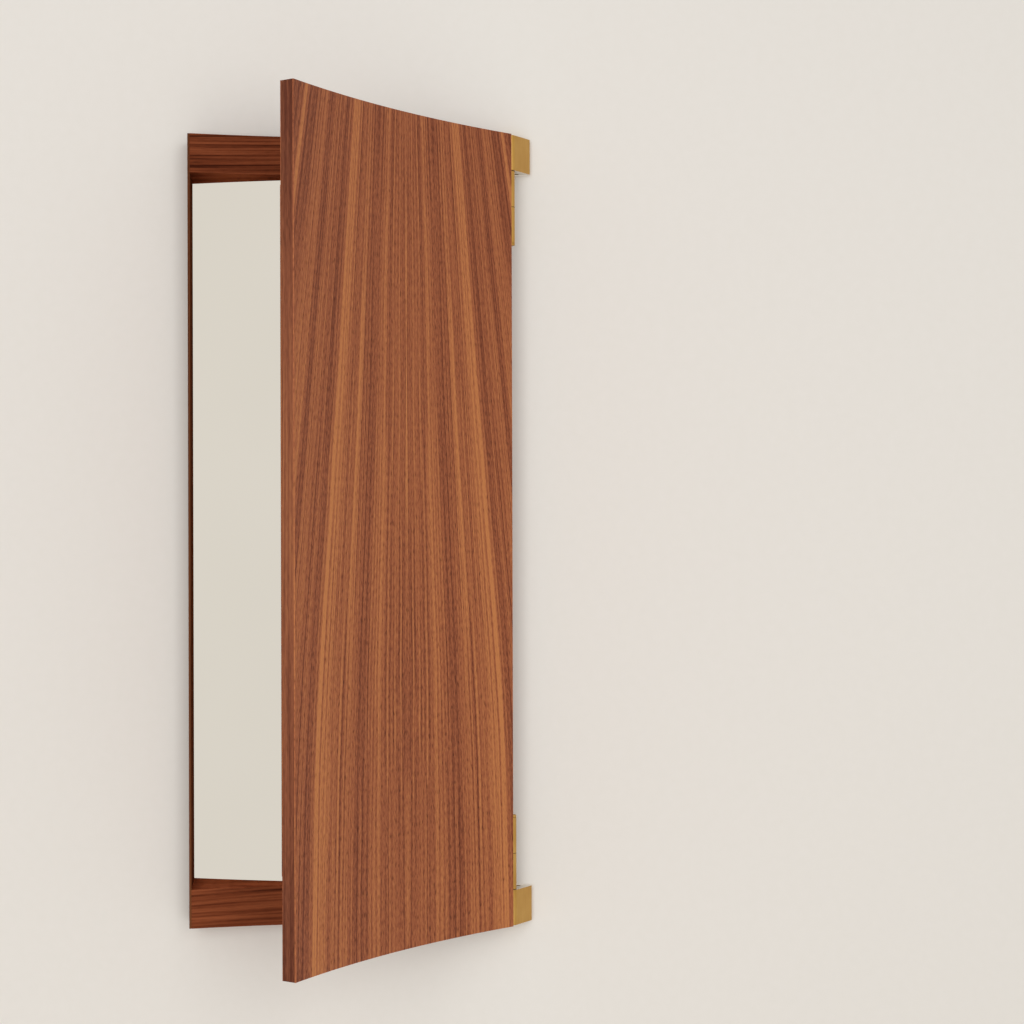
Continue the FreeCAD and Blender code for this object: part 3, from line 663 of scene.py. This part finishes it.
# What is different on the rails: the grain of both rises a little to the right, and the figure is calm
# through their depth, so that its lines run straight across the hollow front.
railCalm = 12.0
rails = {
    # painted light from the glass on the inner faces, strongest on the bottom rail's upper face
    "top_rail": {"seed": 7.7, "tone": 0.08, "innerLift": 1.5, "riseDegrees": 2.0},
    "bottom_rail": {"seed": 21.3, "tone": 0.27, "innerLift": 2.0, "riseDegrees": 1.5},
}
for node, own in rails.items():
    railWood = dict(frameWood, seed=own["seed"], tone=own["tone"], innerLift=own["innerLift"], calm=railCalm)
    # turned a quarter about Z so that X becomes the grain, after a tilt about Y for the rise
    turn = (0, math.radians(own["riseDegrees"]), math.pi / 2)
    coatNodes(walnut("oiled_walnut_" + node, railWood, turn=turn), node)
coatNodes(walnut("oiled_walnut_stile", dict(frameWood, seed=31.0), turn=grainUp), "hinge_stile")
stripWood = dict(frameWood, dark="#3f2315", mid="#633a24", light="#7d4d31", seed=44.0, tone=0.12)
makeEdgeStrip(walnut("brown_walnut_strip", stripWood, turn=grainUp))

# The cover's back and the lippings that only show at its rims
backVeneer = dict(faceVeneer, seed=17.0, tone=0.28, broadShare=1.3)
coatNodes(walnut("lacquered_walnut_back_veneer", backVeneer, turn=grainUp), "cover_back_veneer")
lippingAcross = dict(freeEdge, seed=5.0, tone=0.4)
coatNodes(walnut("lacquered_walnut_end_lipping", lippingAcross, turn=grainAlongCover),
          "cover_top_lipping", "cover_bottom_lipping")
coatNodes(walnut("lacquered_walnut_hinge_lipping", lippingAcross, turn=grainUp), "cover_hinge_lipping")
print("walnut pieces finished")

# Finishes of everything else, each with the size of its own texture
finishes = {
    # milled brass, satin brushed along its length: warm yellow with soft long highlights;
    # the inner faces of the blocks are drawn pale grey: a painted reflection of the pale wall, which they
    # mirror at a grazing angle
    "satin_brushed_brass": {
        "dark": "#b88b45", "light": "#cba25c", "inner": "#e0dad0", "innerPastM": 0.3, "innerFadeMm": 10.0,
        "grainMm": (0.5, 24.0), "turn": grainUp, "cloudMm": 30.0,
        "roughness": (0.28, 0.42), "metallic": 1.0, "reliefMm": 0.02,
        "nodes": ["upper_bracket", "lower_bracket", "upper_body_leaf", "lower_body_leaf",
                  "upper_cover_leaf", "lower_cover_leaf"]},
    # thin brass washers, drawn nearly black: painted shade for the dark gaps between the knuckles
    "washer_painted_shade": {
        "dark": "#1c1208", "light": "#332210", "grainMm": (0.8, 0.8), "cloudMm": 4.0,
        "roughness": (0.4, 0.6), "metallic": 1.0, "reliefMm": 0.03, "nodes": ["hinge_washers"]},
    # turned brass screws, brighter than the leaves
    "turned_brass": {
        "dark": "#b98f4c", "light": "#dcb877", "grainMm": (0.4, 0.4), "cloudMm": 5.0,
        "roughness": (0.2, 0.35), "metallic": 1.0, "reliefMm": 0.02,
        "nodes": ["body_leaf_screws", "cover_leaf_screws"]},
    # bent birch plywood, rotary cut: pale, with soft long figure
    "birch_plywood": {
        "dark": "#c29a6b", "light": "#dcba8c", "grainMm": (2.5, 60.0), "turn": grainUp, "cloudMm": 50.0,
        "roughness": (0.6, 0.75), "reliefMm": 0.1, "nodes": ["cover_core"]},
    # hardboard: pressed brown fibres, slightly mottled
    "pressed_hardboard": {
        "dark": "#6b4a33", "light": "#8d6a4c", "grainMm": (1.2, 3.0), "cloudMm": 40.0,
        "roughness": (0.6, 0.8), "reliefMm": 0.12, "nodes": ["back_panel"]},
    # beech dowels: pale, with short darker flecks
    "fluted_beech": {
        "dark": "#b98a5e", "light": "#d9b084", "grainMm": (0.7, 6.0), "turn": grainUp, "cloudMm": 12.0,
        "roughness": (0.55, 0.7), "reliefMm": 0.08, "nodes": ["frame_dowels"]},
    # zinc-plated steel: cool grey with a fine spangle
    "zinc_plated_steel": {
        "dark": "#9fa3a6", "light": "#c4c7c9", "grainMm": (0.6, 0.6), "cloudMm": 6.0,
        "roughness": (0.28, 0.45), "metallic": 1.0, "reliefMm": 0.02,
        "nodes": ["bracket_studs", "strike_plates"]},
    # black-oxide steel: nearly black with an oily gleam
    "black_oxide_steel": {
        "dark": "#17171a", "light": "#2c2b2d", "grainMm": (0.5, 0.5), "cloudMm": 4.0,
        "roughness": (0.35, 0.5), "metallic": 0.8, "reliefMm": 0.02, "nodes": ["bracket_grub_screws"]},
    # nickel-plated magnets: warm bright grey
    "nickel_plate": {
        "dark": "#b7b2a8", "light": "#d6d2c9", "grainMm": (0.8, 0.8), "cloudMm": 5.0,
        "roughness": (0.15, 0.28), "metallic": 1.0, "reliefMm": 0.01, "nodes": ["catch_magnets"]},
    # pressed wool felt: dull dark brown, with a fuzzy edge light
    "pressed_wool_felt": {
        "dark": "#2e2019", "light": "#4a372c", "grainMm": (0.35, 0.35), "cloudMm": 3.0,
        "roughness": (0.85, 0.95), "sheen": 0.4, "reliefMm": 0.2, "nodes": []},
    # closed-cell foam tape: matt black with tiny cells
    "closed_cell_foam": {
        "dark": "#161616", "light": "#2b2b2a", "grainMm": (0.4, 0.4), "cloudMm": 20.0,
        "roughness": (0.8, 0.95), "reliefMm": 0.15, "nodes": []},
}
made = {}
for name, look in finishes.items():
    made[name] = madeFinish(name, look)
    coatNodes(made[name], *look["nodes"])
makeHingePin("upperHingePin", "upper_hinge_pin", made["satin_brushed_brass"])
makeHingePin("lowerHingePin", "lower_hinge_pin", made["satin_brushed_brass"])
makeFeltPads(made["pressed_wool_felt"])
makeTapes(made["closed_cell_foam"])
mirror = makeMirror()
print("metal, felt, tape and glass finished")

# The room: an off-white plaster wall just behind the back, and a pale floor below.
# From behind, and for light that starts within a hair of it, the wall lets rays through, so that the
# back can be seen.
room = {
    "wall": "#e9e5df", "wallShade": "#e6e2db", "floor": "#e4dfd8", "plasterMm": 9.0, "gapMm": 0.5,
    "throughMm": 3.0, "wide": 6.0, "tall": 4.0, "floorZ": -1.25, "floorDeep": 3.2,
    "background": "#ebe7e0", "light": "#fffefd", "lightStrength": 0.52,
    "plasterBump": 0.04, "plasterReliefMm": 0.4, "plasterRoughness": 0.9,
}


# flat sheet on two directions from its middle, one face
def stageSheet(name, middlePoint, sideA, sideB, material):
    signs = np.array([(-1, -1), (1, -1), (1, 1), (-1, 1)]) / 2
    corners = np.array(middlePoint) + signs @ np.array([sideA, sideB])
    mesh = bpy.data.meshes.new(name)
    mesh.from_pydata(corners.tolist(), [], [(0, 1, 2, 3)])
    sheet = bpy.data.objects.new(name, mesh)
    sheet.data.materials.append(material)
    bpy.context.scene.collection.objects.link(sheet)


def plaster(name, lightHex, shadeHex, seeThroughBack):
    material, tree, shader = newMaterial(name)
    place = addNode(tree, "TexCoord").outputs["Object"]
    patchSize = 1 / (room["plasterMm"] * mm)
    uneven = addNode(tree, "TexNoise", {"Vector": place, "Scale": patchSize, "Detail": 3.0}).outputs[0]
    colour = addNode(tree, "Mix", {0: uneven, 6: linearColour(lightHex), 7: linearColour(shadeHex)},
                     data_type="RGBA")
    tree.links.new(colour.outputs[2], shader.inputs["Base Color"])
    bump = addNode(tree, "Bump", {"Strength": room["plasterBump"], "Distance": room["plasterReliefMm"] * mm,
                                  "Height": uneven})
    tree.links.new(bump.outputs[0], shader.inputs["Normal"])
    shader.inputs["Roughness"].default_value = room["plasterRoughness"]
    if seeThroughBack:
        output = next(n for n in tree.nodes if n.type == "OUTPUT_MATERIAL")
        fromBehind = addNode(tree, "NewGeometry").outputs["Backfacing"]
        rayLength = addNode(tree, "LightPath").outputs["Ray Length"]
        close = addNode(tree, "Math", {0: rayLength, 1: room["throughMm"] * mm},
                        operation="LESS_THAN").outputs[0]
        through = addNode(tree, "Math", {0: fromBehind, 1: close}, operation="MAXIMUM").outputs[0]
        clear = addNode(tree, "BsdfTransparent").outputs[0]
        mixed = addNode(tree, "MixShader", {0: through, 1: shader.outputs[0], 2: clear}).outputs[0]
        tree.links.new(mixed, output.inputs["Surface"])
    return material


stageSheet("wall", (0, room["gapMm"] * mm, room["floorZ"] + room["tall"] / 2), (room["wide"], 0, 0),
           (0, 0, room["tall"]), plaster("painted_plaster", room["wall"], room["wallShade"], True))
stageSheet("floor", (0, 0, room["floorZ"]), (room["wide"], 0, 0), (0, room["floorDeep"], 0),
           plaster("pale_floor", room["floor"], room["wallShade"], False))

# The world lights softly; the camera, metal and glass see the plain background in its place.
world = bpy.data.worlds.new("studio")
bpy.context.scene.world = world
world.use_nodes = True
sky = world.node_tree
sky.nodes.clear()
path = addNode(sky, "LightPath").outputs
seen = addNode(sky, "Math", {0: path["Is Camera Ray"], 1: path["Is Glossy Ray"]}).outputs[0]
seen = addNode(sky, "Math", {0: seen, 1: path["Is Transmission Ray"]}, use_clamp=True).outputs[0]
lightColour = [c * room["lightStrength"] for c in linearColour(room["light"])[:3]] + [1.0]
skyColour = addNode(sky, "Mix", {0: seen, 6: lightColour, 7: linearColour(room["background"])},
                    data_type="RGBA").outputs[2]
background = addNode(sky, "Background", {"Color": skyColour, "Strength": 1.0}).outputs[0]
addNode(sky, "OutputWorld", {"Surface": background})

# soft boxes: place, size in metres, watts; all look at the middle of the mirror
softBoxes = {
    "keyRight": {"at": (0.65, -3.0, 0.3), "size": (1.1, 1.8), "watts": 22.5},
    "fillLeft": {"at": (-1.0, -2.9, 0.3), "size": (1.1, 1.8), "watts": 25.0},
}
# they don't light the glass, so that no bright panel stands in it from any side
unlit = bpy.data.collections.new("unlitGlass")
unlit.objects.link(mirror)
unlit.collection_objects[0].light_linking.link_state = "EXCLUDE"
for name, box in softBoxes.items():
    lamp = bpy.data.lights.new(name, "AREA")
    lamp.shape = "RECTANGLE"
    lamp.size, lamp.size_y = box["size"]
    lamp.energy = box["watts"]
    lamp.color = linearColour(room["light"])[:3]
    holder = bpy.data.objects.new(name, lamp)
    holder.location = box["at"]
    holder.light_linking.receiver_collection = unlit
    x, y, z = box["at"]
    # a lamp shines along its own -Z: tip it up from straight down, then turn it to face the mirror
    holder.rotation_euler = (math.atan2(math.hypot(x, y), z), 0, math.atan2(-y, -x) - math.pi / 2)
    bpy.context.scene.collection.objects.link(holder)
print("room and lights made")

# Camera level with the mirror, looking straight at the wall; the frame is shifted to the right of its axis.
view = {"at": (-0.0604, -1.6745, 0.0), "focalPx": 1861.3, "imagePx": 1024, "axisPx": (279.3, 530.7),
        "sensorMm": 36.0, "rollDegrees": 0.15}
camera = bpy.data.cameras.new("camera")
camera.sensor_width = view["sensorMm"]
camera.lens = view["sensorMm"] * view["focalPx"] / view["imagePx"]
camera.shift_x = 0.5 - view["axisPx"][0] / view["imagePx"]
camera.shift_y = view["axisPx"][1] / view["imagePx"] - 0.5
holder = bpy.data.objects.new("camera", camera)
holder.location = view["at"]
holder.rotation_euler = (math.pi / 2, math.radians(view["rollDegrees"]), 0)
bpy.context.scene.collection.objects.link(holder)
bpy.context.scene.camera = holder
bpy.context.scene.view_settings.view_transform = "Standard"
